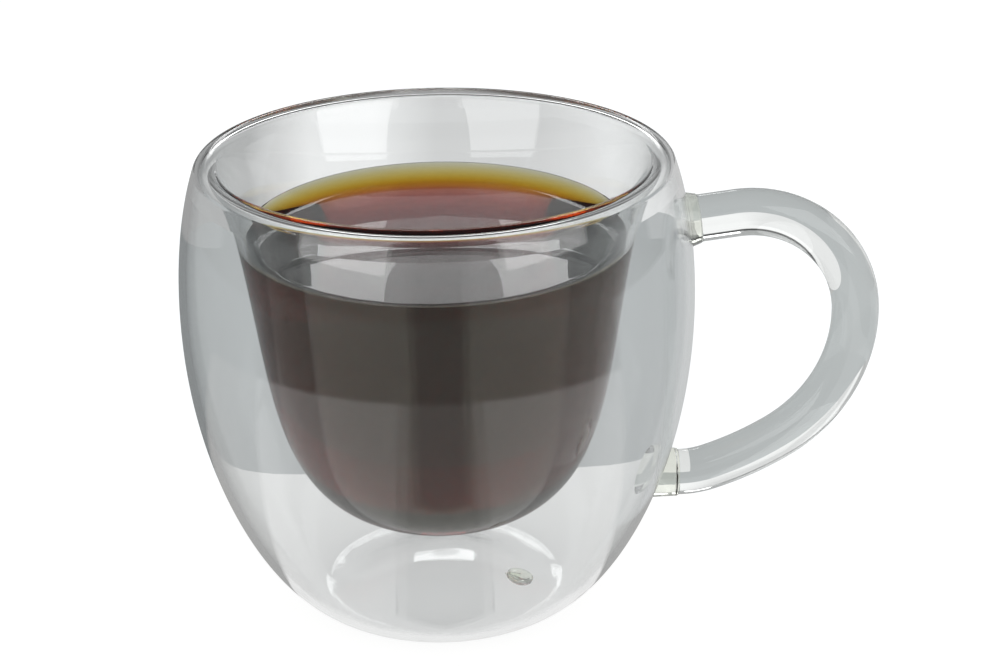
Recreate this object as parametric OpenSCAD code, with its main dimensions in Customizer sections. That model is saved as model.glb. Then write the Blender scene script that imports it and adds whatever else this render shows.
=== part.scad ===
// Double walled cup of clear blown glass with a bent rod handle.
// Millimetres, +Z up, standing on Z = 0, the handle towards +X.
// The two walls are thin shells of revolution. They meet only in the rolled lip at the top.

/* [Body] */
// Radius of the outer wall at its widest circle
belly_r = 44.5; // [36:0.5:52]
// Height of the top of the lip
cup_h = 82.1; // [70:0.1:90]
// Height of the widest circle, as a share of the height of the lip
belly_share = 0.6724; // [0.6:0.0001:0.74]
// Thickness of both walls and of the rolled lip
wall_t = 1.3; // [1:0.1:2]
// Reach of the curve that leaves the foot
foot_pull = 8.8; // [8:0.1:14]
// Reach of the curve that comes up to the widest circle
belly_low_pull = 32.2; // [20:0.5:36]
// Reach of the curve that leaves the widest circle upwards
belly_high_pull = 9.5; // [6:0.1:13]
// Reach of the curve that comes up to the lip
lip_pull = 7.3; // [5:0.1:10]

/* [Lip] */
// Distance from the widest circle in to the circle round which the lip is rolled
lip_in = 5.9; // [4:0.1:9]
// Outer radius of the roll
roll_r = 2.35; // [1.8:0.05:3]
// Angle above level at which the outer wall joins the roll
roll_out_deg = 19.5; // [10:0.5:35]
// Lean of the inner wall where it leaves the roll
roll_in_deg = 24.5; // [10:0.5:35]

/* [Foot] */
// Distance from the widest circle in to the outer edge of the flat ring that the cup stands on
foot_in = 23.5; // [20:0.1:27]
// Width of the flat ring
foot_w = 1.6; // [1:0.1:3]
// Rise of the pushed in base at its centre
dome_h = 2.6; // [2.2:0.1:5]
// Reach of the base curve at the centre
dome_pull = 13; // [8:0.5:16]
// Reach of the base curve at the flat ring
ring_pull = 6; // [2.2:0.1:8]

/* [Inner cup] */
// Height of the underside of the inner cup
bowl_z = 14.8; // [10:0.1:20]
// Distance from the widest circle in to the inner cup at its waist
waist_in = 10.3; // [8:0.1:14]
// Height of the waist, below which the wall is nearly upright, as a share of the height of the lip
waist_share = 0.8356; // [0.75:0.0001:0.87]
// Lean of the wall at the waist
waist_deg = 10; // [4:0.5:20]
// Distance from the waist in to the end of the nearly flat bottom
bowl_in = 2.7; // [1:0.1:8]
// Reach of the curve that comes up to the waist
waist_low_pull = 33.5; // [20:0.5:40]
// Reach of the curve that leaves the waist upwards
waist_high_pull = 2.6; // [1:0.1:6]
// Reach of the curve that comes up to the roll
flare_pull = 4.2; // [2:0.1:8]

/* [Handle] */
// Radius of the glass rod
rod_r = 4.1; // [3:0.1:5.5]
// Distance from the widest circle out to the upper end of the rod
arm_out = 0.8; // [0.5:0.1:3]
// Height of the middle of the rod at its upper end, as a share of the height of the lip
arm_share = 0.8429; // [0.74:0.0001:0.87]
// Rise of the rod where it leaves the upper weld
arm_deg = 7.3; // [0:0.1:15]
// Length of the straight run at the top
arm_len = 6.3; // [4:0.1:12]
// Radius of the upper bend, as a share of the height of the lip
bend_a_share = 0.2339; // [0.18:0.0001:0.28]
// Turn of the upper bend
bend_a_deg = 95; // [80:0.5:110]
// Radius of the side bend, as a share of the height of the lip
bend_b_share = 0.3362; // [0.26:0.0001:0.42]
// Turn of the side bend
bend_b_deg = 60; // [45:0.5:75]
// Radius of the lower bend, as a share of the height of the lip
bend_c_share = 0.687; // [0.5:0.001:0.85]
// Turn of the lower bend
bend_c_deg = 13.8; // [8:0.2:20]
// Radius of the end bend, as a share of the height of the lip
bend_d_share = 0.206; // [0.15:0.001:0.3]
// Turn of the end bend, which brings the rod level to the wall
bend_d_deg = 19; // [12:0.5:28]
// Step between one run of the rod and the next, too small to see, which keeps their faces apart
run_step = 0.03; // [0.02:0.01:0.05]
// Length by which the straight run goes into the upper bend
run_lap = 0.3; // [0.2:0.1:0.6]

/* [Welds] */
// Radius of a weld where it meets the rod
weld_r = 4.35; // [4.2:0.05:5.5]
// Radius of the upper weld at its wide end inside the line of the wall
weld_top_wide_r = 5.4; // [4.6:0.1:7]
// Radius of the lower weld at its wide end inside the line of the wall
weld_low_wide_r = 4.7; // [4.6:0.1:7]
// Rounding of the edge of a weld at the rod
weld_edge_r = 0.45; // [0.2:0.05:0.8]
// Length of the upper weld before the wall cuts it
weld_top_len = 4.2; // [3:0.1:6]
// Length of the lower weld before the wall cuts it
weld_low_len = 10.5; // [8:0.1:13]

/* [Vent seal] */
// Radius of the hole that the outer wall is blown through
vent_r = 1.2; // [0.8:0.1:1.6]
// Turn of the vent round the axis, from the handle towards the front
vent_turn_deg = 14; // [0:1:40]
// Radius of the sealing drop on the wall
drop_r = 2.3; // [1.8:0.1:2.8]
// Height of the drop over the wall on each side
drop_h = 0.7; // [0.4:0.1:1]
// Thickness of the drawn tail where it leaves the drop
tail_d = 1.3; // [0.8:0.1:1.6]
// Thickness of the drawn tail at its tip
tail_tip_d = 0.3; // [0.2:0.1:0.6]

/* [Hidden] */
$fn = 96;
// Share of the base curve, from the centre, at which the vent and the tip of its tail lie
vent_share = 0.62;
tail_share = 0.43;
// Steps of each curve
foot_steps = 10;
side_steps = 20;
neck_steps = 8;
roll_steps = 14;
edge_steps = 5;
// Angle by which a bend goes into its neighbours
lap_deg = 0.6;
// Share of the neck and of the flare above which fused glass fills the gap between the walls
fused_share = (neck_steps - 1) / neck_steps;
// Glass tints
clear_tint = [0.86, 0.92, 0.92, 0.35];
weld_tint = [0.80, 0.87, 0.80, 0.45];

belly_z = belly_share * cup_h;
lip_r = belly_r - lip_in;
roll_z = cup_h - roll_r;
roll_in_end_deg = 180 - roll_in_deg;
foot_r = belly_r - foot_in;
foot_in_r = foot_r - foot_w;
waist_r = belly_r - waist_in;
waist_z = waist_share * cup_h;
bowl_pull = waist_r - bowl_in;
arm_x = belly_r + arm_out;
arm_z = arm_share * cup_h;
bend_a_r = bend_a_share * cup_h;
bend_b_r = bend_b_share * cup_h;
bend_c_r = bend_c_share * cup_h;
bend_d_r = bend_d_share * cup_h;

function dir(deg) = [cos(deg), sin(deg)];
function roll_at(r, deg) = [lip_r, roll_z] + r * dir(deg);
function mix(c, t) = pow(1 - t, 3) * c[0] + 3 * pow(1 - t, 2) * t * c[1] + 3 * (1 - t) * t * t * c[2] + t * t * t * c[3];
function slope(c, t) = pow(1 - t, 2) * (c[1] - c[0]) + 2 * (1 - t) * t * (c[2] - c[1]) + t * t * (c[3] - c[2]);
function left(v) = [-v[1], v[0]] / norm(v);
// Points of a curve, moved to its left by d. The first share is left out, as the curve before ends there.
function run(c, n, d) = [for (i = [1:n]) mix(c, i / n) + d * left(slope(c, i / n))];
function start(c, d) = [mix(c, 0) + d * left(slope(c, 0))];
function curve_at(c, t, d) = mix(c, t) + d * left(slope(c, t));
function turned_back(pts) = [for (i = [len(pts) - 1:-1:0]) pts[i]];

// Outer wall: base, foot, side and shoulder, from the axis outwards and up
base_curve = [[0, dome_h], [dome_pull, dome_h], [foot_in_r - ring_pull, 0], [foot_in_r, 0]];
side_curve = [[foot_r, 0], [foot_r + foot_pull, 0], [belly_r, belly_z - belly_low_pull], [belly_r, belly_z]];
lip_join = roll_at(roll_r, roll_out_deg);
neck_curve = [
    [belly_r, belly_z],
    [belly_r, belly_z + belly_high_pull],
    lip_join - lip_pull * dir(roll_out_deg + 90),
    lip_join
];
function outer_line(d) = concat(
    start(base_curve, d),
    run(base_curve, foot_steps, d),
    start(side_curve, d),
    run(side_curve, side_steps, d),
    run(neck_curve, neck_steps, d)
);

// Inner cup: the side of its wall that faces the sealed gap, from the axis outwards and up
waist = [waist_r, waist_z];
waist_dir = dir(90 - waist_deg);
bowl_curve = [[0, bowl_z], [bowl_pull, bowl_z], waist - waist_low_pull * waist_dir, waist];
flare_join = roll_at(roll_r - wall_t, roll_in_end_deg);
flare_dir = dir(90 - roll_in_deg);
flare_curve = [waist, waist + waist_high_pull * waist_dir, flare_join - flare_pull * flare_dir, flare_join];
function inner_line(d) = concat(
    start(bowl_curve, d),
    run(bowl_curve, side_steps, d),
    run(flare_curve, neck_steps, d)
);

// Path of the rod: the point and the heading after each bend
function bend_centre(p, deg, r) = p + r * [sin(deg), -cos(deg)];
function bend_end(p, deg, r, turn) = bend_centre(p, deg, r) + r * [-sin(deg - turn), cos(deg - turn)];
arm_start = [arm_x, arm_z];
arm_end = arm_start + arm_len * dir(arm_deg);
head_b_deg = arm_deg - bend_a_deg;
point_b = bend_end(arm_end, arm_deg, bend_a_r, bend_a_deg);
head_c_deg = head_b_deg - bend_b_deg;
point_c = bend_end(point_b, head_b_deg, bend_b_r, bend_b_deg);
head_d_deg = head_c_deg - bend_c_deg;
point_d = bend_end(point_c, head_c_deg, bend_c_r, bend_c_deg);
rod_end = bend_end(point_d, head_d_deg, bend_d_r, bend_d_deg);
rod_end_deg = head_d_deg - bend_d_deg;

// The handle reaches furthest on the side bend. The frame is centred between it and the wall behind.
reach = bend_centre(point_b, head_b_deg, bend_b_r)[0] + bend_b_r + rod_r;
axis_x = (belly_r - reach) / 2;

// Vent: its place on the base, the middle of the wall there, and the drop as the lens of two balls
vent_at = mix(base_curve, vent_share);
vent_up = left(slope(base_curve, vent_share));
vent_lean_deg = atan2(-vent_up[0], vent_up[1]);
tail_at = mix(base_curve, tail_share);
drop_ball_r = (drop_r * drop_r + drop_h * drop_h) / (2 * drop_h);
drop_offset = drop_ball_r - drop_h - wall_t / 2;
tail_vec = tail_at - vent_at;

// Which node to draw

module on_axis() {
    translate([axis_x, 0, 0]) children();
}

// Runs its children up the axis of the rod at a point of the XZ plane, heading that way
module along(p, deg) {
    translate([p[0], 0, p[1]]) rotate([0, 90 - deg, 0]) children();
}

// The space inside the outer face of the outer wall
module envelope() {
    rotate_extrude() polygon(concat(outer_line(0), [[0, lip_join[1]]]));
}

module vent_place() {
    rotate([0, 0, -vent_turn_deg]) translate([vent_at[0], 0, vent_at[1]]) rotate([0, -vent_lean_deg, 0]) children();
}

module vented_wall() {
    difference() {
        rotate_extrude() polygon(concat(outer_line(0), turned_back(outer_line(wall_t))));
        vent_place() cylinder(r = vent_r, h = 4 * wall_t, center = true);
    }
}

module outer_shell() {
    color(clear_tint) on_axis() vented_wall();
}

module inner_shell() {
    color(clear_tint) on_axis() rotate_extrude() polygon(concat(inner_line(0), turned_back(inner_line(wall_t))));
}

module rim_bead() {
    span = roll_in_end_deg - roll_out_deg;
    top_arc = [for (i = [0:roll_steps]) roll_at(roll_r, roll_out_deg + span * i / roll_steps)];
    between_walls = [
        flare_join,
        curve_at(flare_curve, fused_share, 0),
        curve_at(neck_curve, fused_share, wall_t),
        roll_at(roll_r - wall_t, roll_out_deg)
    ];
    color(clear_tint) on_axis() rotate_extrude() polygon(concat(top_arc, between_walls));
}

// One bend of the rod, from the point p with the heading deg, turning down by turn. It runs on by lap at both ends.
module bend(p, deg, r, turn, rod, lap) {
    mid = bend_centre(p, deg, r);
    translate([mid[0], 0, mid[1]])
        rotate([90, 0, 0])
            rotate([0, 0, deg + 90 - turn - lap])
                rotate_extrude(angle = turn + 2 * lap) translate([r, 0]) circle(r = rod);
}

module handle() {
    slim_r = rod_r - run_step;
    color(clear_tint) on_axis() union() {
        along(arm_start, arm_deg) cylinder(r = rod_r, h = arm_len + run_lap);
        bend(arm_end, arm_deg, bend_a_r, bend_a_deg, slim_r, 0);
        bend(point_b, head_b_deg, bend_b_r, bend_b_deg, rod_r, lap_deg);
        bend(point_c, head_c_deg, bend_c_r, bend_c_deg, slim_r, lap_deg);
        bend(point_d, head_d_deg, bend_d_r, bend_d_deg, rod_r, 0);
    }
}

// A weld from its flat face on the rod, widening to where the wall cuts it
module weld_blank(length, wide_r) {
    edge = [for (i = [0:edge_steps]) [weld_r - weld_edge_r, weld_edge_r]
        + weld_edge_r * [sin(90 * i / edge_steps), -cos(90 * i / edge_steps)]];
    rotate_extrude() polygon(concat([[0, 0]], edge, [[wide_r, length], [0, length]]));
}

module upper_weld() {
    color(weld_tint) on_axis() difference() {
        along(arm_start, arm_deg + 180) weld_blank(weld_top_len, weld_top_wide_r);
        envelope();
    }
}

module lower_weld() {
    color(weld_tint) on_axis() difference() {
        along(rod_end, rod_end_deg) weld_blank(weld_low_len, weld_low_wide_r);
        envelope();
    }
}

module vent_seal() {
    color(weld_tint) on_axis() difference() {
        union() {
            vent_place() {
                intersection() {
                    translate([0, 0, wall_t / 2 - drop_offset]) sphere(r = drop_ball_r);
                    translate([0, 0, wall_t / 2 + drop_offset]) sphere(r = drop_ball_r);
                }
            }
            rotate([0, 0, -vent_turn_deg])
                translate([vent_at[0], 0, vent_at[1]])
                    rotate([0, atan2(tail_vec[0], tail_vec[1]), 0])
                        cylinder(d1 = tail_d, d2 = tail_tip_d, h = norm(tail_vec));
        }
        vented_wall();
    }
}

outer_shell();
inner_shell();
rim_bead();
handle();
upper_weld();
lower_weld();
vent_seal();
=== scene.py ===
"""Looks of the double walled glass cup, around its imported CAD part.

Sizes are millimetres, as in the part's source, and become metres where a mesh, a texture or a lamp is
made. Each glass piece is worked out from the formulas of its CAD node, which it replaces with a
smoother mesh. Where two pieces are fused in the real cup, the faces between them let light straight
through.
"""

import bpy
import numpy as np
from mathutils import Matrix


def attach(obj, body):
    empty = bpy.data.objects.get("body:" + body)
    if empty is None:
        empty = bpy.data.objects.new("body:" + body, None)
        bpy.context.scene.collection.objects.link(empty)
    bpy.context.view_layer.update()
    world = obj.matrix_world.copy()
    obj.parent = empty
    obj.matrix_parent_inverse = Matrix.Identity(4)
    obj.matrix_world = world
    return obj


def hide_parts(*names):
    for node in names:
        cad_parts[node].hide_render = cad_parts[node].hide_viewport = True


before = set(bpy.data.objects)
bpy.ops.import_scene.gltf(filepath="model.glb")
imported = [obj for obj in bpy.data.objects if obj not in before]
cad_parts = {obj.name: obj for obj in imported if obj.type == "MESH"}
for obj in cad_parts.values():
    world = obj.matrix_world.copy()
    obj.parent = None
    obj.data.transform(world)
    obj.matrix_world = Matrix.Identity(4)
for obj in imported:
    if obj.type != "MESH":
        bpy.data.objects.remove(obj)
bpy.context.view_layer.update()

MM = 0.001  # metres in a millimetre

# Sizes of the outer wall, as in the part's source
BELLY_R = 44.5  # radius at the widest circle
CUP_H = 82.1  # height of the top of the lip
BELLY_SHARE = 0.6724  # height of the widest circle, as a share of the lip's height
WALL = 1.3  # thickness of both walls and of the lip
FOOT_PULL = 8.8  # reach of the curve that leaves the foot
BELLY_LOW_PULL = 32.2  # reach of the curve that comes up to the widest circle
BELLY_HIGH_PULL = 9.5  # reach of the curve that leaves the widest circle upwards
LIP_PULL = 7.3  # reach of the curve that comes up to the lip

# Sizes of the lip
LIP_IN = 5.9  # distance from the widest circle in to the circle round which the lip is rolled
ROLL_R = 2.35  # outer radius of the roll
ROLL_OUT_DEG = 19.5  # angle above level at which the outer wall joins the roll
ROLL_IN_DEG = 24.5  # lean of the inner wall where it leaves the roll
FUSED_SHARE = 7 / 8  # share of the neck and of the flare above which glass fills the gap
WETTED = 0.1  # thickness of the glass that wets the inside of the lip

# Sizes of the base
FOOT_IN = 23.5  # distance from the widest circle in to the outer edge of the flat ring
FOOT_W = 1.6  # width of the flat ring
DOME_H = 2.6  # rise of the pushed in base at its centre
DOME_PULL = 13.0  # reach of the base curve at the centre
RING_PULL = 6.0  # reach of the base curve at the flat ring

# Sizes of the inner cup
BOWL_Z = 14.8  # height of its underside
WAIST_IN = 10.3  # distance from the widest circle in to its waist
WAIST_SHARE = 0.8356  # height of the waist, as a share of the lip's height
WAIST_DEG = 10.0  # lean of the wall at the waist
BOWL_IN = 2.7  # distance from the waist in to the end of the nearly flat bottom
WAIST_LOW_PULL = 33.5  # reach of the curve that comes up to the waist
WAIST_HIGH_PULL = 2.6  # reach of the curve that leaves the waist upwards
FLARE_PULL = 4.2  # reach of the curve that comes up to the roll

# Sizes of the handle
ROD_R = 4.1  # radius of the glass rod
ARM_OUT = 0.8  # distance from the widest circle out to the upper end of the rod
ARM_SHARE = 0.8429  # height of the rod's middle at that end, as a share of the lip's height
ARM_DEG = 7.3  # rise of the rod where it leaves the upper weld
ARM_LEN = 6.3  # length of the straight run at the top
# The four bends from the top: radius as a share of the lip's height, turn in degrees, mesh points
BENDS = ((0.2339, 95.0, 64), (0.3362, 60.0, 48), (0.687, 13.8, 24), (0.206, 19.0, 24))

# Sizes of the welds
WELD_R = 4.35  # radius where a weld meets the rod
WELD_EDGE = 0.45  # rounding of its edge there
WELD_TOP_WIDE_R = 5.4  # radius of the upper weld at its wide end inside the line of the wall
WELD_LOW_WIDE_R = 4.7  # radius of the lower weld at its wide end
WELD_TOP_LEN = 4.2  # length of the upper weld before the wall cuts it
WELD_LOW_LEN = 10.5  # length of the lower weld before the wall cuts it

# Sizes of the vent's seal
VENT_TURN_DEG = 14.0  # turn of the vent round the axis, from the handle towards the front
VENT_SHARE = 0.62  # share of the base curve, from the centre, at which the vent lies
TAIL_SHARE = 0.43  # share of it at which the tip of the tail lies
DROP_R = 2.3  # radius of the drop on the wall
DROP_H = 0.7  # height of the drop over the wall on each side
DROP_SUNK = 0.1  # depth to which each cap of the drop goes on into the wall
DROP_FIRST = 0.02  # depth of a cap's first ring under its top
TAIL_D = 1.3  # thickness of the drawn tail where it leaves the drop
TAIL_TIP_D = 0.3  # thickness of the tail at its tip
TAIL_ROUND = 0.15  # share of the tail's length over which its tip is rounded
TAIL_END = 0.1  # share of its thickness that is left at the very end
TAIL_TOP = 0.1  # height of the tail's flat top over its middle, as a share of its radius

# Sizes of the drink, which is not part of the cup
LEVEL_Z = 66.9  # height of its level surface
DRINK_LAP = 0.2  # overlap with the inner cup's glass, so that no air shows between them
# Height to which the drink climbs the glass, and distance from the glass at which its meniscus ends. The
# glass is wetted higher at the back.
CLIMB_FRONT, REACH_FRONT = 0.5, 3.5
CLIMB_BACK, REACH_BACK = 2.6, 5.5
LEVEL_FIRST = 1.0  # distance from the meniscus to the first ring of the level surface
LEVEL_LAST = 2.0  # radius of its last ring

# Mesh density
TURNS = 192  # columns of a turned piece
ROUND = 96  # columns of the rod, the welds and the drop
BASE_POINTS, SIDE_POINTS, NECK_POINTS = 36, 84, 41  # along the outer wall
BOWL_POINTS, FLARE_POINTS = 100, 33  # along the inner cup
ROLL_POINTS = 56  # along each arc of the lip
ARM_POINTS = 8  # along the straight run of the rod
EDGE_ROWS, WELD_ROWS, CAP_ROWS = 8, 24, 12  # of a weld's rounded edge, its side and its last face
DROP_ROWS, TAIL_ROWS = 16, 24  # of each cap of the drop, and of the tail
MENISCUS_POINTS, LEVEL_POINTS = 61, 12  # along the drink's meniscus and its level surface
CARD_POINTS, BAFFLE_POINTS = 30, 64  # along an arc of a card, and round the baffle
SIDE_LOOKUP, NECK_LOOKUP = 400, 200  # points of the wall's line that a weld is fitted to
HALVINGS = 40  # steps in which the place where a weld meets the wall is found
SHARP_DEG = 50.0  # turn between two faces above which their edge stays sharp

# Directions in the frame: towards the handle, away from the camera, and upwards
RIGHT, BACK, UP = np.eye(3)


# Plain geometry
def unit(deg):
    """Unit vector at deg above the first axis of a plane, or one column of it for each of several."""
    return np.array([np.cos(np.radians(deg)), np.sin(np.radians(deg))])


def spread(first, last, count):
    """count values from first to last, both included."""
    return np.linspace(first, last, count)


def circle(first, second, count=ROUND):
    """Points (cos a) first + (sin a) second for count angles a that are spread evenly over a turn."""
    a = spread(0, 2 * np.pi, count + 1)[:-1, None]
    return np.cos(a) * first + np.sin(a) * second


def upright(points, way=RIGHT):
    """Points (distance along way, height) of an upright plane through the axis, as (x, y, z)."""
    points = np.asarray(points, float)
    return points[..., :1] * way + points[..., 1:] * UP


def cubic(curve, shares, out=0.0):
    """Points of a cubic curve a, b, c, d at shares t, as (1-t)^3 a + 3(1-t)^2 t b + 3(1-t)t^2 c + t^3 d,
    each moved by out along the unit normal on the left of the curve's slope."""
    a, b, c, d = (np.asarray(p, float) for p in curve)
    t = np.asarray(shares, float)[:, None]
    point = (1 - t) ** 3 * a + 3 * (1 - t) ** 2 * t * b + 3 * (1 - t) * t**2 * c + t**3 * d
    slope = (1 - t) ** 2 * (b - a) + 2 * (1 - t) * t * (c - b) + t**2 * (d - c)
    left = np.stack([-slope[:, 1], slope[:, 0]], 1) / np.linalg.norm(slope, axis=1)[:, None]
    return point + np.reshape(out, (-1, 1)) * left


# Outline of the outer wall: base, side and neck, as (radius, height)
roll_mid = np.array([BELLY_R - LIP_IN, CUP_H - ROLL_R])
foot_r = BELLY_R - FOOT_IN
foot_in_r = foot_r - FOOT_W
belly_z = BELLY_SHARE * CUP_H
lip_join = roll_mid + ROLL_R * unit(ROLL_OUT_DEG)
BASE = [[0, DOME_H], [DOME_PULL, DOME_H], [foot_in_r - RING_PULL, 0], [foot_in_r, 0]]
SIDE = [[foot_r, 0], [foot_r + FOOT_PULL, 0], [BELLY_R, belly_z - BELLY_LOW_PULL], [BELLY_R, belly_z]]
NECK = [[BELLY_R, belly_z], [BELLY_R, belly_z + BELLY_HIGH_PULL],
        lip_join - LIP_PULL * unit(ROLL_OUT_DEG + 90), lip_join]

# Outline of the inner cup on the side of the sealed gap: bowl and flare
waist = np.array([BELLY_R - WAIST_IN, WAIST_SHARE * CUP_H])
waist_way = unit(90 - WAIST_DEG)
flare_join = roll_mid + (ROLL_R - WALL) * unit(180 - ROLL_IN_DEG)
BOWL = [[0, BOWL_Z], [BELLY_R - WAIST_IN - BOWL_IN, BOWL_Z], waist - WAIST_LOW_PULL * waist_way, waist]
FLARE = [waist, waist + WAIST_HIGH_PULL * waist_way,
         flare_join - FLARE_PULL * unit(90 - ROLL_IN_DEG), flare_join]

NECK_SHARES, FLARE_SHARES = spread(0, 1, NECK_POINTS), spread(0, 1, FLARE_POINTS)


def outer_line(out):
    """Outer wall's line from the axis to the lip, moved inwards by out."""
    return np.concatenate([cubic(BASE, spread(0, 1, BASE_POINTS), out),
                           cubic(SIDE, spread(0, 1, SIDE_POINTS), out),
                           cubic(NECK, NECK_SHARES[1:], out)])


def inner_line(out):
    """Inner cup's line from the axis to the lip, moved to the drink's side by out."""
    return np.concatenate([cubic(BOWL, spread(0, 1, BOWL_POINTS), out),
                           cubic(FLARE, FLARE_SHARES[1:], out)])


# Path of the rod
def rod_path():
    """The rod's middle line in the plane y = 0 as points and headings in degrees: a straight arm, then
    four arcs that turn down. A bend of radius r that starts at p with heading h has its middle r to the
    right of p, and its points lie r to the left of that middle, square to their own headings."""
    p = np.array([BELLY_R + ARM_OUT, ARM_SHARE * CUP_H])
    heads = [np.full(ARM_POINTS, ARM_DEG)]
    points = [p + spread(0, ARM_LEN, ARM_POINTS)[:, None] * unit(ARM_DEG)]
    for share, turn, count in BENDS:
        r = share * CUP_H
        head = heads[-1][-1]
        now = head - spread(0, turn, count)
        arc = points[-1][-1] + r * unit(head - 90) + r * unit(now + 90).T
        points.append(arc[1:])
        heads.append(now[1:])
    return np.concatenate(points), np.concatenate(heads)


path, path_deg = rod_path()
handle_x = path[:, 0].max() + ROD_R
AXIS = (BELLY_R - handle_x) / 2 * RIGHT  # the cup's axis in the frame

# Materials
WHITE = (1.0, 1.0, 1.0, 1.0)
GLASS_IOR = 1.47  # borosilicate glass
DRINK_IOR = 1.333  # water
DRINK_DENSITY = 1250.0  # absorption in each metre of the drink
WAVER_LOW, WAVER_HIGH = 6.0, 15.0  # heights between which the base's deeper waver dies away
AT_LEAST_ONCE = 0.5  # Glossy Depth above which a ray has been mirrored


def tint(hex_code):
    """An sRGB hex colour as linear RGBA."""
    c = np.array([int(hex_code[i:i + 2], 16) for i in (1, 3, 5)]) / 255
    lin = np.where(c <= 0.04045, c / 12.92, ((c + 0.055) / 1.055) ** 2.4)
    return (*[float(v) for v in lin], 1.0)


def node(tree, kind, inputs=None, stops=(), **settings):
    """Adds a node with its settings. Each of its inputs, by name or number, gets a value, or a link where
    a socket is given. A colour ramp gets its stops, pairs of a place and a linear colour."""
    made = tree.nodes.new(kind)
    for key, value in settings.items():
        setattr(made, key, value)
    for key, value in (inputs or {}).items():
        if isinstance(value, bpy.types.NodeSocket):
            tree.links.new(value, made.inputs[key])
        else:
            made.inputs[key].default_value = value
    ramp = made.color_ramp.elements if stops else ()
    while len(ramp) < len(stops):
        ramp.new(1.0)
    for element, (place, colour) in zip(ramp, stops):
        element.position, element.color = place, colour
    return made


def fresh(name):
    """A new material and its empty tree."""
    made = bpy.data.materials.new(name)
    made.use_nodes = True
    made.node_tree.nodes.clear()
    return made, made.node_tree


def glass(name, colour, shade, waver, waver_size, base_waver=1.0):
    """Clear glass. Lamps reach what is behind it through a tinted Transparent shader, as their light
    does through real glass of this thinness. A shallow bump gives the drawn waver: a noise of
    waver_size across and waver deep, in millimetres. It is deeper by the factor base_waver at the
    base, where the bubble was closed, and falls evenly with the height to its own depth."""
    made, tree = fresh(name)
    place = node(tree, "ShaderNodeTexCoord").outputs["Object"]
    noise = node(tree, "ShaderNodeTexNoise",
                 {"Vector": place, "Scale": 1 / (waver_size * MM), "Detail": 1.0})
    height = node(tree, "ShaderNodeSeparateXYZ", {0: place})
    deeper = node(tree, "ShaderNodeMapRange",
                  {"Value": height.outputs["Z"], "From Min": WAVER_LOW * MM, "From Max": WAVER_HIGH * MM,
                   "To Min": base_waver, "To Max": 1.0})
    ripple = node(tree, "ShaderNodeMath", {0: noise.outputs["Fac"], 1: deeper.outputs[0]},
                  operation="MULTIPLY")
    bump = node(tree, "ShaderNodeBump",
                {"Height": ripple.outputs[0], "Strength": 1.0, "Distance": waver * MM})
    body = node(tree, "ShaderNodeBsdfPrincipled",
                {"Base Color": tint(colour), "Roughness": 0.0, "IOR": GLASS_IOR,
                 "Transmission Weight": 1.0, "Normal": bump.outputs["Normal"]})
    through = node(tree, "ShaderNodeBsdfTransparent", {"Color": tint(shade)})
    light = node(tree, "ShaderNodeLightPath")
    face = node(tree, "ShaderNodeMixShader",
                {0: light.outputs["Is Shadow Ray"], 1: body.outputs[0], 2: through.outputs[0]})
    node(tree, "ShaderNodeOutputMaterial", {"Surface": face.outputs[0]})
    return made


def join_in_glass():
    """The join between two fused pieces of glass, which nothing shows: it lets light straight through."""
    made, tree = fresh("fused join")
    clear = node(tree, "ShaderNodeBsdfTransparent", {"Color": WHITE})
    node(tree, "ShaderNodeOutputMaterial", {"Surface": clear.outputs[0]})
    return made


def black_tea():
    """Strong brewed drink: red amber where it is thin and near black where it is deep. It mirrors only
    at its open face: against glass, marked by the attribute, light passes without a reflection."""
    made, tree = fresh("brewed drink")
    body = node(tree, "ShaderNodeBsdfPrincipled",
                {"Base Color": WHITE, "Roughness": 0.0, "IOR": DRINK_IOR, "Transmission Weight": 1.0})
    bent = node(tree, "ShaderNodeBsdfRefraction", {"Color": WHITE, "Roughness": 0.0, "IOR": DRINK_IOR})
    wet = node(tree, "ShaderNodeAttribute", attribute_name="against_glass")
    face = node(tree, "ShaderNodeMixShader",
                {0: wet.outputs["Fac"], 1: body.outputs[0], 2: bent.outputs[0]})
    through = node(tree, "ShaderNodeBsdfTransparent", {"Color": tint("#E8D4B8")})
    light = node(tree, "ShaderNodeLightPath")
    mix = node(tree, "ShaderNodeMixShader",
               {0: light.outputs["Is Shadow Ray"], 1: face.outputs[0], 2: through.outputs[0]})
    depth = node(tree, "ShaderNodeVolumeAbsorption", {"Color": tint("#F9E545"), "Density": DRINK_DENSITY})
    node(tree, "ShaderNodeOutputMaterial", {"Surface": mix.outputs[0], "Volume": depth.outputs[0]})
    return made


# Borosilicate glass, blown in a mould: water clear, with a mirror finish and a very faint waver
blown_glass = glass("blown borosilicate glass", "#FBFCFC", "#F8F9F9", waver=0.002, waver_size=9.0,
                    base_waver=60.0)
# Borosilicate rod, bent in a flame: clear, a little greyer in its depth
rod_glass = glass("flame bent borosilicate rod", "#FAFCFB", "#F6F8F8", waver=0.003, waver_size=6.0)
# Glass fused by hand with a torch: the same glass, faintly green, with the ripples of its working
fused_glass = glass("torch fused glass", "#F6F9F0", "#F4F6F1", waver=0.03, waver_size=1.6)
fused_join = join_in_glass()


# Surfaces
def placed(name, data):
    """The mesh, lamp or camera as an object of the scene, at the origin."""
    made = bpy.data.objects.new(name, data)
    bpy.context.scene.collection.objects.link(made)
    return made


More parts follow.
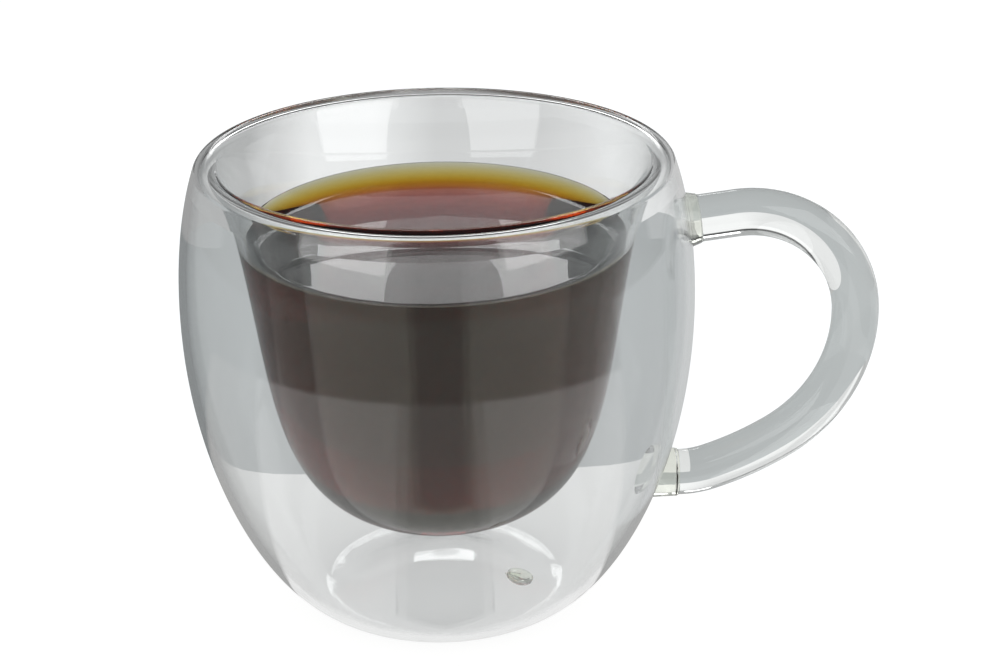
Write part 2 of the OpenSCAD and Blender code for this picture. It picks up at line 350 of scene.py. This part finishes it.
def surface(name, rows, materials, kinds, closed=False, first=None, last=None):
    """A piece from a grid of points, rows by columns, in millimetres about the cup's axis. The columns
    run round and close. The rows close too, or else each end closes on its pole, first or last.
    kinds gives each band of faces, poles included, its material. Faces are turned to point outwards."""
    n, m = rows.shape[:2]
    points = [rows.reshape(-1, 3)]
    ids = np.arange(n * m).reshape(n, m)
    upper = np.roll(ids, -1, axis=0) if closed else ids[1:]
    lower = ids if closed else ids[:-1]
    quads = np.stack([lower, np.roll(lower, -1, 1), np.roll(upper, -1, 1), upper], -1)
    faces = [q.tolist() for q in quads]
    if not closed:
        first_pole, last_pole = np.full(m, n * m), np.full(m, n * m + 1)
        points += [np.reshape(first, (1, 3)), np.reshape(last, (1, 3))]
        faces.insert(0, np.stack([first_pole, np.roll(ids[0], -1), ids[0]], -1).tolist())
        faces.append(np.stack([last_pole, ids[-1], np.roll(ids[-1], -1)], -1).tolist())
    flat = [f for band in faces for f in band]
    where = (np.concatenate(points) + AXIS) * MM
    # The faces point inwards if the volume that they enclose, a sum over their triangles, is below zero
    tri = where[np.array([f[:3] for f in flat] + [[f[0], f[2], f[-1]] for f in flat])] - where.mean(0)
    if np.einsum("ij,ij->i", tri[:, 0], np.cross(tri[:, 1], tri[:, 2])).sum() < 0:
        flat = [f[::-1] for f in flat]
    mesh = bpy.data.meshes.new(name)
    mesh.from_pydata(where.tolist(), [], flat)
    for material in materials:
        mesh.materials.append(material)
    mesh.polygons.foreach_set("material_index", np.repeat(kinds, m).astype(np.int32))
    mesh.polygons.foreach_set("use_smooth", np.ones(len(flat), bool))
    mesh.set_sharp_from_angle(angle=np.radians(SHARP_DEG))
    mesh.update()
    return placed(name, mesh)


def turned(line):
    """Points of a line (radius r, height z) turned about the axis, as rows by columns:
    (r cos a, r sin a, z)."""
    return line[:, None, :1] * circle(RIGHT, BACK, TURNS) + line[:, None, 1:] * UP


def glass_piece(made):
    """The piece rides on the cup's one body and stands for the CAD node of its name."""
    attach(made, "root")
    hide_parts(made.name.removesuffix("_glass"))
    return made


# Outer wall and inner cup
def shell(name, outside, inside, fused_before, fused_after):
    """A wall of revolution between two lines that both start on the axis. It is joined to the lip at its
    end face and on the bands just before or after it."""
    line = np.concatenate([outside[1:], inside[:0:-1]])
    kinds = np.zeros(len(line) + 1)
    end = len(outside) - 1
    kinds[end - fused_before:end + fused_after + 1] = 1
    made = surface(name, turned(line), [blown_glass, fused_join], kinds,
                   first=(0, 0, outside[0, 1]), last=(0, 0, inside[0, 1]))
    return glass_piece(made)


neck_fused = NECK_SHARES[NECK_SHARES >= FUSED_SHARE]
flare_fused = FLARE_SHARES[FLARE_SHARES >= FUSED_SHARE]
shell("outer_shell_glass", outer_line(0), outer_line(WALL), 0, len(neck_fused) - 1)
shell("inner_shell_glass", inner_line(0), inner_line(WALL), len(flare_fused) - 1, 0)


# Lip: a ring under an arc about the middle of the roll, with the top of the gap below it. Its glass wets
# both walls down to where they are fused, and thins out to nothing there.
def wetted(curve, shares, wall, more):
    """Points at the distance wall from a curve, plus a share of more that grows evenly from nothing,
    where the walls are no longer fused, to one at the curve's end."""
    return cubic(curve, shares, wall + more * (shares - FUSED_SHARE) / (1 - FUSED_SHARE))


def roll_arc(radius, first_deg, last_deg):
    """Points about the middle of the roll."""
    return roll_mid + radius * unit(spread(first_deg, last_deg, ROLL_POINTS)).T


def rim_bead():
    """The lip's outline, turned about the axis: over the roll, down the face on the inner cup, under the
    top of the gap, and up the face on the outer wall."""
    over = roll_arc(ROLL_R, ROLL_OUT_DEG, 180 - ROLL_IN_DEG)
    on_flare = cubic(FLARE, flare_fused[::-1])
    under = np.concatenate([wetted(FLARE, flare_fused[1:], 0, -WETTED),
                            roll_arc(ROLL_R - WALL - WETTED, 180 - ROLL_IN_DEG, ROLL_OUT_DEG)[1:-1],
                            wetted(NECK, neck_fused[:0:-1], WALL, WETTED)])
    on_neck = cubic(NECK, neck_fused, WALL)
    kinds = np.repeat([0, 1, 0, 1], [len(over) - 1, len(on_flare), len(under) + 1, len(on_neck)])
    line = np.concatenate([over, on_flare, under, on_neck])
    return surface("rim_bead_glass", turned(line), [blown_glass, fused_join], kinds, closed=True)


glass_piece(rim_bead())


# Handle
def handle():
    """Circles about each point of the rod's path, square to its heading there: the point plus the rod's
    radius times (cos a) left plus (sin a) sideways. Each end is a flat face on a weld."""
    left = upright(unit(path_deg + 90).T)
    rows = upright(path)[:, None] + ROD_R * circle(left[:, None], BACK)
    kinds = np.zeros(len(rows) + 1)
    kinds[[0, -1]] = 1
    return surface("handle_glass", rows, [rod_glass, fused_join], kinds,
                   first=upright(path[0]), last=upright(path[-1]))


glass_piece(handle())

# Welds
side_wall = np.concatenate([cubic(SIDE, spread(0, 1, SIDE_LOOKUP)),
                            cubic(NECK, spread(0, 1, NECK_LOOKUP)[1:])])


def along_to_wall(start, way, longest):
    """How far each start point goes along way, in millimetres, until it meets the outer wall's face, by
    halving the span in which its radius falls below the wall's radius at its height."""
    near, far = np.zeros(start.shape[:-1]), np.full(start.shape[:-1], float(longest))
    for _ in range(HALVINGS):
        mid = (near + far) / 2
        p = start + mid[..., None] * way
        inside = np.hypot(p[..., 0], p[..., 1]) < np.interp(p[..., 2], side_wall[:, 1], side_wall[:, 0])
        near, far = np.where(inside, near, mid), np.where(inside, mid, far)
    return (near + far) / 2


def weld(name, start, deg, longest, wide_r):
    """A collar of glass from the rod's end to the wall: a flat face on the rod, a rounded edge, a side
    that widens evenly along the heading, and a last face that lies on the wall."""
    start = upright(start)
    way = upright(unit(deg))
    across = circle(upright(unit(deg + 90)), BACK)
    turn = np.radians(spread(0, 90, EDGE_ROWS))[:, None, None]
    edge_r = WELD_R - WELD_EDGE + WELD_EDGE * np.sin(turn)
    edge = start + (WELD_EDGE - WELD_EDGE * np.cos(turn)) * way + edge_r * across
    side_way = way + (wide_r - WELD_R) / (longest - WELD_EDGE) * across
    side_len = along_to_wall(edge[-1], side_way, longest)[:, None]
    side = edge[-1] + spread(0, 1, WELD_ROWS)[1:, None, None] * side_len * side_way
    rim = side[-1] - start
    inwards = start + spread(1, 0, CAP_ROWS)[1:, None, None] * (rim - (rim @ way)[:, None] * way)
    cap = inwards + along_to_wall(inwards, way, 2 * longest)[..., None] * way
    rows = np.concatenate([edge, side, cap[:-1]])
    kinds = np.zeros(len(rows) + 1)
    kinds[0] = 1
    kinds[-len(cap):] = 1
    made = surface(name, rows, [fused_glass, fused_join], kinds, first=start, last=cap[-1, 0])
    return glass_piece(made)


weld("upper_weld_glass", path[0], ARM_DEG + 180, WELD_TOP_LEN, WELD_TOP_WIDE_R)
weld("lower_weld_glass", path[-1], path_deg[-1], WELD_LOW_LEN, WELD_LOW_WIDE_R)


# Vent seal
def seal_parts():
    """Rows, poles and last face's kind of the three parts that close the vent. The drop is two caps of
    one ball, r^2 = 2 R h - h^2, on the two faces of the base, each closed by a face just inside the
    wall's glass. The tail is a tapered round rod under the base, cut flat just over its middle."""
    vent, tip = cubic(BASE, [VENT_SHARE, TAIL_SHARE])
    away = cubic(BASE, [VENT_SHARE], 1.0)[0] - vent
    out_way = np.array([*unit(-VENT_TURN_DEG), 0])
    side_way = np.array([*unit(90 - VENT_TURN_DEG), 0])
    normal = upright(away, out_way)
    flat_way = upright([away[1], -away[0]], out_way)
    middle = upright(vent, out_way)

    ball = (DROP_R**2 + DROP_H**2) / (2 * DROP_H)
    tops = spread(DROP_FIRST, DROP_H + DROP_SUNK, DROP_ROWS)[:, None, None]
    cap_r = np.sqrt(2 * ball * tops - tops**2)
    parts = []
    for face, sign in ((WALL, 1), (0.0, -1)):
        rows = middle + (face + sign * (DROP_H - tops)) * normal + cap_r * circle(flat_way, side_way)
        parts.append((rows, middle + (face + sign * DROP_H) * normal,
                      middle + (face - sign * DROP_SUNK) * normal, 1))

    share = spread(0, 1, TAIL_ROWS)[:, None, None]
    line = middle + share * (upright(tip, out_way) - middle)
    rounding = 1 - ((share - (1 - TAIL_ROUND)) / TAIL_ROUND).clip(0) ** 2
    thick = (TAIL_D + share * (TAIL_TIP_D - TAIL_D)) / 2 * np.sqrt(rounding.clip(TAIL_END**2, 1))
    aside, upwards = circle(RIGHT, -BACK)[:, :2].T[..., None]
    rows = line + thick * (aside * side_way + np.minimum(upwards, TAIL_TOP) * normal)
    parts.append((rows, line[0, 0], line[-1, 0], 0))
    return parts


def vent_seal():
    """The three parts of the seal as one piece."""
    made = []
    for number, (rows, first, last, last_kind) in enumerate(seal_parts()):
        kinds = np.zeros(len(rows) + 1)
        kinds[-1] = last_kind
        made.append(surface(f"drop_{number}", rows, [fused_glass, fused_join], kinds,
                            first=first, last=last))
    with bpy.context.temp_override(active_object=made[0], selected_editable_objects=made):
        bpy.ops.object.join()
    made[0].name = made[0].data.name = "vent_seal_glass"
    return made[0]


glass_piece(vent_seal())

# Drink
lap_line, face_line = inner_line(WALL - DRINK_LAP), inner_line(WALL)
below_level = lap_line[lap_line[:, 1] < LEVEL_Z]


def drink_line(climb, reach):
    """From the axis along the inner cup, just inside its glass, up to the height that the drink climbs
    to, then down the meniscus, whose height falls with the cube of the share of its reach that is left,
    and level to the axis."""
    top = LEVEL_Z + climb
    lap_r, edge_r = (np.interp(top, line[:, 1], line[:, 0]) for line in (lap_line, face_line))
    left = spread(1, 0, MENISCUS_POINTS)
    meniscus = np.stack([edge_r - reach * (1 - left), LEVEL_Z + climb * left**3], 1)
    level_r = spread(meniscus[-1, 0] - LEVEL_FIRST, LEVEL_LAST, LEVEL_POINTS)
    level = np.stack([level_r, np.full(LEVEL_POINTS, LEVEL_Z)], 1)
    return np.concatenate([below_level[1:], [[lap_r, top]], meniscus, level])


def drink():
    """The front's line and the back's, each turned about the axis, mixed by the share of the way to the
    back, (1 + sin a) / 2. The bands below the climb are marked as against the glass."""
    backness = (1 + circle(RIGHT, BACK, TURNS)[:, 1:2]) / 2
    front, back = drink_line(CLIMB_FRONT, REACH_FRONT), drink_line(CLIMB_BACK, REACH_BACK)
    rows = turned(front) * (1 - backness) + turned(back) * backness
    made = surface("drink", rows, [black_tea()], np.zeros(len(rows) + 1),
                   first=(0, 0, lap_line[0, 1]), last=(0, 0, LEVEL_Z))
    wet = np.arange(len(made.data.polygons)) < len(below_level) * TURNS
    marks = made.data.attributes.new("against_glass", "FLOAT", "FACE")
    marks.data.foreach_set("value", wet.astype(float))
    return made


drink()

# Sizes of the studio
FLOOR_HALF = 4000.0  # half of the floor's side
FLOOR_Z, GREY_Z, GAP_Z, EDGE_Z, WHITE_Z = -0.3, -0.15, -0.08, -0.05, -0.02  # heights of floor and cards
CARD_R = 165.0  # radius of the white card round the cup
WING_DEG = 76.0  # direction in which its wings begin
REAR = 43.0  # distance behind the axis at which they end
HANDLE_SIDE = 50.0  # distance beside the axis at which the right wing ends
GREY_R = 400.0  # radius of the grey cards
GAP_DEG = 16.0  # half of the gap's spread, seen from the axis
GAP_SIDE = 11.0  # half of the gap's width near the cup
GAP_START = 30.0  # distance in front of the axis at which the gap begins
GAP_STEP = 2.0  # slant of the gap's near end
GAP_LAP_DEG = 2.0  # spread by which the cards in the gap go on under the white card
EDGE_DEG, EDGE_SIDE = 4.0, 3.0  # spread and width of the gap's painted brighter edge
BACKDROP_Y = 205.0  # distance of the backdrop behind the axis
BACKDROP_H = 85.0  # its height
BACKDROP_SIDE = 700.0  # half of its width
MATT_WHITE, MATT_GREY = "#8C8C8A", "#868D8F"
CARD_SEEN = 0.9  # glow of a card where the camera sees it


# Floor and cards
def panel(name, corners, material):
    """A flat stage piece from its corners in millimetres."""
    mesh = bpy.data.meshes.new(name)
    mesh.from_pydata((np.array(corners, float) * MM).tolist(), [], [list(range(len(corners)))])
    mesh.materials.append(material)
    made = placed(name, mesh)
    return made


def hide_from(made, *rays):
    """The stage piece or lamp isn't seen by these kinds of ray."""
    for ray in rays:
        setattr(made, "visible_" + ray, False)
    return made


def pale_card(name, straight, mirrored, colour=MATT_WHITE):
    """Matt pale card, which keeps the cup's shadow. Light Path lifts it to white where the camera sees
    it. Where glass shows it, the glow is painted light: by less where it is seen straight through glass,
    and by its own amount where glass mirrors it, a painted reflection."""
    made, tree = fresh(name)
    light = node(tree, "ShaderNodeLightPath")
    past_mirror = node(tree, "ShaderNodeMath", {0: light.outputs["Glossy Depth"], 1: AT_LEAST_ONCE},
                       operation="GREATER_THAN")
    amount = node(tree, "ShaderNodeMix", {0: past_mirror.outputs[0], 2: straight, 3: mirrored})
    past_glass = node(tree, "ShaderNodeMath",
                      {0: light.outputs["Is Glossy Ray"], 1: light.outputs["Is Transmission Ray"]},
                      operation="MAXIMUM")
    in_glass = node(tree, "ShaderNodeMath", {0: past_glass.outputs[0], 1: amount.outputs[0]},
                    operation="MULTIPLY")
    seen = node(tree, "ShaderNodeMath", {0: light.outputs["Is Camera Ray"], 1: CARD_SEEN},
                operation="MULTIPLY")
    lift = node(tree, "ShaderNodeMath", {0: in_glass.outputs[0], 1: seen.outputs[0]}, operation="MAXIMUM")
    body = node(tree, "ShaderNodeBsdfDiffuse", {"Color": tint(colour)})
    # Painted light: the glow that glass shows through the card and mirrors in it
    glow = node(tree, "ShaderNodeEmission", {"Color": WHITE, "Strength": lift.outputs[0]})
    both = node(tree, "ShaderNodeAddShader", {0: body.outputs[0], 1: glow.outputs[0]})
    node(tree, "ShaderNodeOutputMaterial", {"Surface": both.outputs[0]})
    return made


def sweep(first_deg, last_deg, far):
    """Outline pairs along an arc about the cup's axis."""
    return [(deg, far) for deg in spread(first_deg, last_deg, CARD_POINTS)]


def spot(x, y):
    """The outline pair of a place, x to the side and y away from the camera."""
    return np.degrees(np.arctan2(x, -y)), np.hypot(x, y)


def half_card(name, side, outline, height, material):
    """One half of a card, side -1 for the left one. Its outline is pairs of a direction in degrees, 0
    being towards the camera, and a distance from the cup's axis."""
    deg, far = np.array(outline).T
    across, ahead = far * unit(90 - deg)
    corners = AXIS + height * UP + (side * across)[:, None] * RIGHT - ahead[:, None] * BACK
    return panel(name, corners, material)


# Floor: seen straight through glass its glow is painted light; where glass mirrors it, the glow adds
# almost nothing to the lit card
panel("floor", [[x * FLOOR_HALF, y * FLOOR_HALF, FLOOR_Z]
                for x, y in ((-1, -1), (1, -1), (1, 1), (-1, 1))],
      pale_card("pale floor", straight=0.34, mirrored=0.02))
# White card under and in front of the cup, with a gap left out towards the camera, where a card of the
# same matt colour lies lower. Where glass shows them, their glow is painted light: the side wings are
# painted less bright where glass mirrors them, the gap is painted dark in those reflections and has a
# painted brighter edge, and grey cards lie behind, painted dimmer on the left than on the right where
# glass mirrors them.
rear_deg = 180 - np.degrees(np.arccos(REAR / CARD_R))
front = [spot(0, 0), spot(0, -GAP_START), spot(GAP_SIDE, -GAP_START - GAP_STEP),
         *sweep(GAP_DEG, WING_DEG, CARD_R)]
gap = [spot(0, 0), *sweep(0, GAP_DEG + GAP_LAP_DEG, CARD_R)]
gap_edge = [spot(0, 0), spot(GAP_SIDE - EDGE_SIDE, -GAP_START),
            *sweep(GAP_DEG - EDGE_DEG, GAP_DEG + GAP_LAP_DEG, CARD_R)]
behind = [spot(0, 0), *sweep(WING_DEG, 180, GREY_R)]
wing_left = [spot(0, 0), *sweep(WING_DEG, rear_deg, CARD_R), spot(0, REAR)]
wing_right = [spot(0, 0), (WING_DEG, HANDLE_SIDE), spot(HANDLE_SIDE, REAR), spot(0, REAR)]
# Painted light: each card's glow through glass and mirrored in it is set here, apart from the lamps
white_card_painted_bright = pale_card("white card", straight=0.66, mirrored=0.75)
wings_painted_dim = pale_card("card wings", straight=0.66, mirrored=0.30)
gap_edge_painted_bright = pale_card("edge of the gap", straight=0.67, mirrored=0.48)
gap_painted_dark = pale_card("card in the gap", straight=0.68, mirrored=0.27)
for side, name, wing, grey_painted_mirror_glow in ((-1, "left", wing_left, 0.15), (1, "right", wing_right, 0.48)):
    grey_card_painted_glow = pale_card("grey card", straight=0.34, mirrored=grey_painted_mirror_glow, colour=MATT_GREY)
    half_card("painted dark gap card " + name, side, gap, GAP_Z, gap_painted_dark)
    half_card("painted bright edge card " + name, side, gap_edge, EDGE_Z, gap_edge_painted_bright)
    half_card("white card " + name, side, front, WHITE_Z, white_card_painted_bright)
    half_card("card wing " + name, side, wing, WHITE_Z, wings_painted_dim)
    half_card("grey card " + name, side, behind, GREY_Z, grey_card_painted_glow)

# Backdrop: white, low and close behind the cup. Only glass and gloss see it, so its glow is painted
# light: what glass shows through it, and a painted reflection where glass mirrors it. Where it stands the
# camera itself sees the floor and the room, which are as white.
RAMP_FROM, RAMP_TO = -100.0, 100.0  # stretch of the backdrop over which its glow changes
RAMP_LEFT, RAMP_RIGHT = 0.35, 0.60  # glow at its two ends where glass mirrors it
# Glow where it is seen straight through glass: share of the stretch, and brightness there
RAMP_STOPS = ((0.10, 0.50), (0.23, 1.0), (0.33, 1.0), (0.42, 0.76),
              (0.58, 0.76), (0.72, 1.0), (0.82, 1.0), (0.90, 0.85))


def painted_light_sheet():
    """White sheet of painted light, whose glow changes from left to right, by one rule seen straight
    through the glass and by another, a painted reflection, where glass mirrors it."""
    made, tree = fresh("white backdrop")
    place = node(tree, "ShaderNodeTexCoord").outputs["Object"]
    across = node(tree, "ShaderNodeSeparateXYZ", {0: place})
    span = {"Value": across.outputs["X"], "From Min": RAMP_FROM * MM, "From Max": RAMP_TO * MM}
    share = node(tree, "ShaderNodeMapRange", {**span, "To Min": 0.0, "To Max": 1.0})
    straight = node(tree, "ShaderNodeValToRGB", {"Fac": share.outputs[0]},
                    [(stop, (bright, bright, bright, 1.0)) for stop, bright in RAMP_STOPS])
    mirrored = node(tree, "ShaderNodeMapRange", {**span, "To Min": RAMP_LEFT, "To Max": RAMP_RIGHT})
    light = node(tree, "ShaderNodeLightPath")
    past_mirror = node(tree, "ShaderNodeMath", {0: light.outputs["Glossy Depth"], 1: AT_LEAST_ONCE},
                       operation="GREATER_THAN")
    strength = node(tree, "ShaderNodeMix",
                    {0: past_mirror.outputs[0], 2: straight.outputs[0], 3: mirrored.outputs[0]})
    glow = node(tree, "ShaderNodeEmission", {"Color": WHITE, "Strength": strength.outputs[0]})
    node(tree, "ShaderNodeOutputMaterial", {"Surface": glow.outputs[0]})
    return made


backdrop = panel("backdrop", [[x * BACKDROP_SIDE, BACKDROP_Y, z * BACKDROP_H]
                              for x, z in ((-1, 0), (1, 0), (1, 1), (-1, 1))], painted_light_sheet())
hide_from(backdrop, "camera", "shadow", "diffuse")

# Room: its colour by the height of the direction, -1 straight down and 1 straight up. Below the first of
# these heights it keeps the first colour, and above the last one the last.
ROOM_SIDES = ((0.235, "#3A3A3A"), (0.318, "#3A3A3A"), (0.33, "#B0B1B1"))
ROOM_STRAIGHT = ((0.20, "#FFFFFF"), *ROOM_SIDES)
# Where glass mirrors the room: a painted reflection, darker than the set seen straight through glass, low
# down and high up
ROOM_MIRRORED = ((0.20, "#8A8B8B"), *ROOM_SIDES, (0.47, "#B0B1B1"), (0.50, "#6A6A6A"))


def room():
    """The room round the studio: white to the camera, one set of colours straight through the glass, and
    another where glass mirrors it, which is a painted reflection."""
    made = bpy.data.worlds.new("studio")
    made.use_nodes = True
    tree = made.node_tree
    tree.nodes.clear()
    way = node(tree, "ShaderNodeTexCoord").outputs["Generated"]
    height = node(tree, "ShaderNodeSeparateXYZ", {0: way})
    straight, mirrored = (node(tree, "ShaderNodeValToRGB", {"Fac": height.outputs["Z"]},
                               [(place, tint(colour)) for place, colour in stops])
                          for stops in (ROOM_STRAIGHT, ROOM_MIRRORED))
    light = node(tree, "ShaderNodeLightPath")
    past_mirror = node(tree, "ShaderNodeMath", {0: light.outputs["Glossy Depth"], 1: AT_LEAST_ONCE},
                       operation="GREATER_THAN")
    in_glass = node(tree, "ShaderNodeMix",
                    {0: past_mirror.outputs[0], 6: straight.outputs[0], 7: mirrored.outputs[0]},
                    data_type="RGBA")
    seen = node(tree, "ShaderNodeMix",
                {0: light.outputs["Is Camera Ray"], 6: in_glass.outputs[2], 7: WHITE}, data_type="RGBA")
    glow = node(tree, "ShaderNodeBackground", {"Color": seen.outputs[2], "Strength": 1.0})
    node(tree, "ShaderNodeOutputWorld", {"Surface": glow.outputs[0]})
    return made


bpy.context.scene.world = room()

# Lamps
AIM_Z = 45.0  # height of the place on the axis that the soft boxes face
AIM = AXIS + AIM_Z * UP


def softbox(name, azimuth, elevation, distance, width, height, radiance):
    """A soft box that faces the cup from a direction, azimuth 0 being the camera's side, with the
    radiance that its face shows. Its power is radiance times pi times its area."""
    (ahead, aside), (level, up_share) = unit(azimuth), unit(elevation)
    back = np.array([aside * level, -ahead * level, up_share])
    lamp = bpy.data.lights.new(name, "AREA")
    lamp.shape = "RECTANGLE"
    lamp.size, lamp.size_y = width * MM, height * MM
    lamp.energy = radiance * np.pi * lamp.size * lamp.size_y
    right = np.cross(UP, back)
    right /= np.linalg.norm(right)
    turn = Matrix(np.stack([right, np.cross(back, right), back], 1).tolist())
    made = placed(name, lamp)
    made.matrix_world = Matrix.Translation(((AIM + distance * back) * MM).tolist()) @ turn.to_4x4()
    return hide_from(made, "camera")


# Each soft box: name, azimuth and elevation in degrees, distance, width and height, and radiance
SOFT_BOXES = (
    ("soft box front right", 49, 28, 650, 480, 460, 1.8),
    ("soft box front left", -42, 28, 650, 480, 460, 1.8),
    ("soft box back", 179.87, 24.35, 1500, 290, 178, 2.7),
    ("soft box skirt", 179.87, 20.35, 1490, 380, 29, 0.60),
    ("soft box hem", 179.87, 19.5, 1490, 380, 16, 0.28),
)
for box in SOFT_BOXES:
    softbox(*box)
# Overhead light, which only matt surfaces see
hide_from(softbox("overhead light", 150, 65, 600, 300, 300, 1.6), "glossy", "transmission")

# Painted dim spot in front of the back soft box: a disc that glows dimmer than the box's face, seen only
# by glass and gloss, a painted dark spot in the box's reflection
PAINTED_SPOT_R = 60.0  # radius of the disc
PAINTED_SPOT_AT = 1400.0  # distance from the place that the soft boxes face
PAINTED_SPOT_DEG = 23.05  # its angle above level, seen from there
PAINTED_SPOT_TURN_DEG = 0.27  # its angle to the right of straight behind
PAINTED_SPOT_GLOW = 1.6  # radiance of its face


def painted_spot_sheet():
    """Grey sheet of painted light that glows evenly."""
    made, tree = fresh("painted dim spot")
    glow = node(tree, "ShaderNodeEmission", {"Color": WHITE, "Strength": PAINTED_SPOT_GLOW})
    node(tree, "ShaderNodeOutputMaterial", {"Surface": glow.outputs[0]})
    return made


def painted_spot_disc():
    """Corners of the disc: a circle with one arm level and the other tilted to face the cup."""
    level_share, up_share = unit(PAINTED_SPOT_DEG)
    way = np.array([*(level_share * unit(90 - PAINTED_SPOT_TURN_DEG)), up_share])
    disc = circle(RIGHT, np.array([0, -up_share, level_share]), BAFFLE_POINTS)
    return AIM + PAINTED_SPOT_AT * way + PAINTED_SPOT_R * disc


hide_from(panel("painted dim spot disc", painted_spot_disc(), painted_spot_sheet()), "camera", "shadow", "diffuse")

# Camera, as found from the photograph
CAMERA_AT = np.array([0.0, -337.0, 190.5])  # about the cup's axis
PITCH, YAW, ROLL = 22.82, 1.82, -0.66  # degrees down, to the right, and about its own line
LENS, SENSOR_W = 75.1, 36.0  # focal length and width of the sensor
CLIP_START = 10.0  # distance under which it sees nothing


def photo_camera():
    """Camera with its own right, up and back as the columns of its turn: ahead comes from pitch and yaw,
    and right and up are turned about it by the roll."""
    (cos_p, sin_p), (cos_y, sin_y), (cos_r, sin_r) = unit(PITCH), unit(YAW), unit(ROLL)
    ahead = np.array([sin_y * cos_p, cos_y * cos_p, -sin_p])
    level = np.array([cos_y, -sin_y, 0.0])
    above = np.cross(level, ahead)
    right, up = level * cos_r + above * sin_r, -level * sin_r + above * cos_r
    made = placed("camera", bpy.data.cameras.new("camera"))
    made.data.lens = LENS
    made.data.sensor_width = SENSOR_W
    made.data.clip_start = CLIP_START * MM
    made.matrix_world = (Matrix.Translation(((AXIS + CAMERA_AT) * MM).tolist())
                         @ Matrix(np.stack([right, up, -ahead], 1).tolist()).to_4x4())
    return made


bpy.context.scene.camera = photo_camera()

# Light paths and view
BOUNCES = 256  # light is guided in the outer wall for long and comes out at the lip
CLEAR_BOUNCES = 32  # passes through fused joins and through glass on the way to a lamp
cycles = bpy.context.scene.cycles
cycles.max_bounces = BOUNCES
cycles.transmission_bounces = BOUNCES
cycles.glossy_bounces = BOUNCES
cycles.transparent_max_bounces = CLEAR_BOUNCES
cycles.caustics_reflective = False
cycles.caustics_refractive = False
bpy.context.scene.view_settings.view_transform = "Standard"
